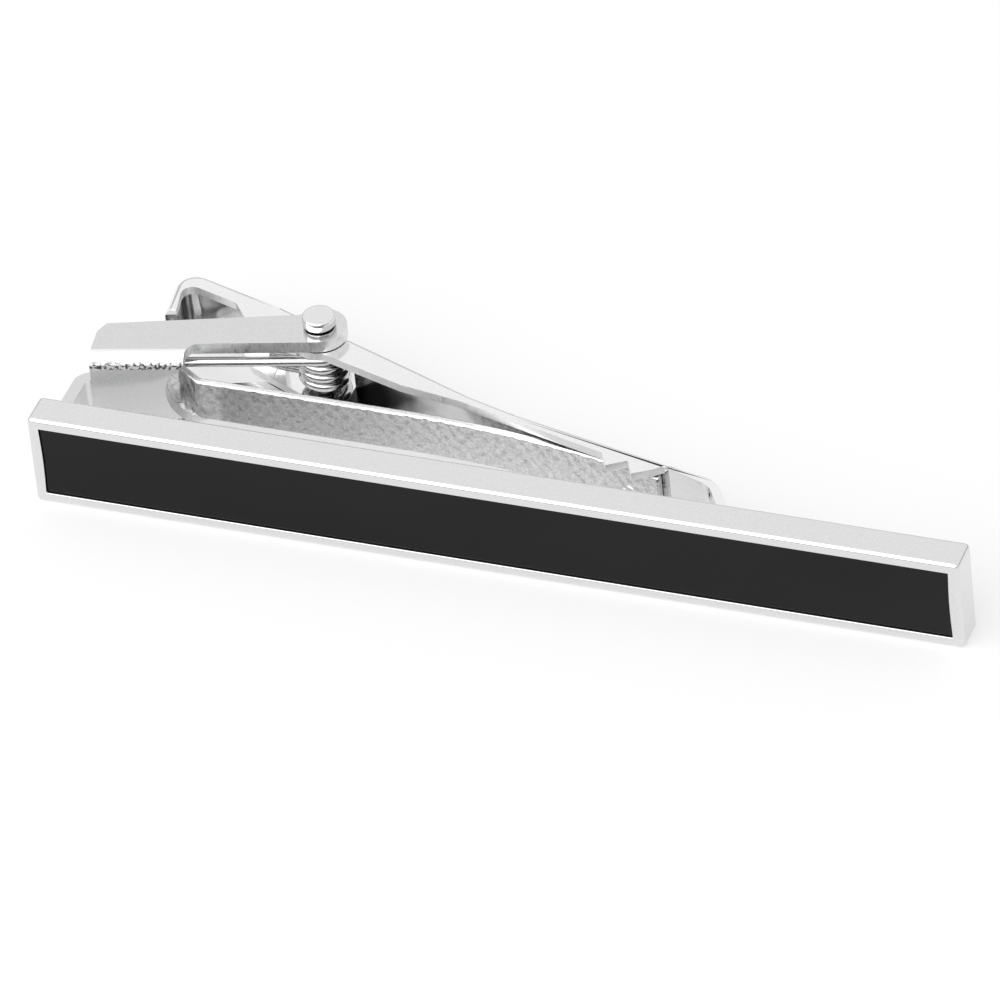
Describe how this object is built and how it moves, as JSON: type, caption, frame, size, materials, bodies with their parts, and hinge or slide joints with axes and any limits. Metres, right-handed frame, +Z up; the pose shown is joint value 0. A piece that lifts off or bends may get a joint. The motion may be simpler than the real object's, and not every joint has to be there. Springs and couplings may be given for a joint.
{
  "type": "sprung tie clip",
  "caption": "Sprung tie clip: an inlaid front bar with a toothed spring jaw and thumb piece hinged behind it.",
  "frame": {"origin": "middle of the narrow face that the bar stands on", "axes": "+X along the bar from the hinge end to the nose end, +Y from the bar back towards the clip, +Z up across the bar"},
  "size_m": [0.06, 0.0176, 0.007],
  "materials": {
    "plated_metal": "polished",
    "black_inlay": "satin",
    "bracket_metal": "polished",
    "hammered_metal": "hammered",
    "lever_metal": "polished",
    "spring_wire": "bright drawn",
    "rivet_metal": "polished"
  },
  "bodies": {
    "bar": {"front_bar": "plated_metal", "inlay": "black_inlay", "hinge_bracket": "bracket_metal", "fixed_jaw": "hammered_metal", "torsion_spring": "spring_wire", "pivot_rivet": "rivet_metal"},
    "jaw": {"lever": "lever_metal"}
  },
  "joints": [
    {"name": "jaw_hinge", "type": "hinge", "parent": "bar", "child": "jaw", "pos_m": [-0.01575, 0.0121, 0.0032], "axis": [0, 0, 1], "range_deg": [0, 18], "stiffness_Nm_per_rad": 0.012, "springref_deg": -45.84, "deforming": ["torsion_spring"]}
  ]
}
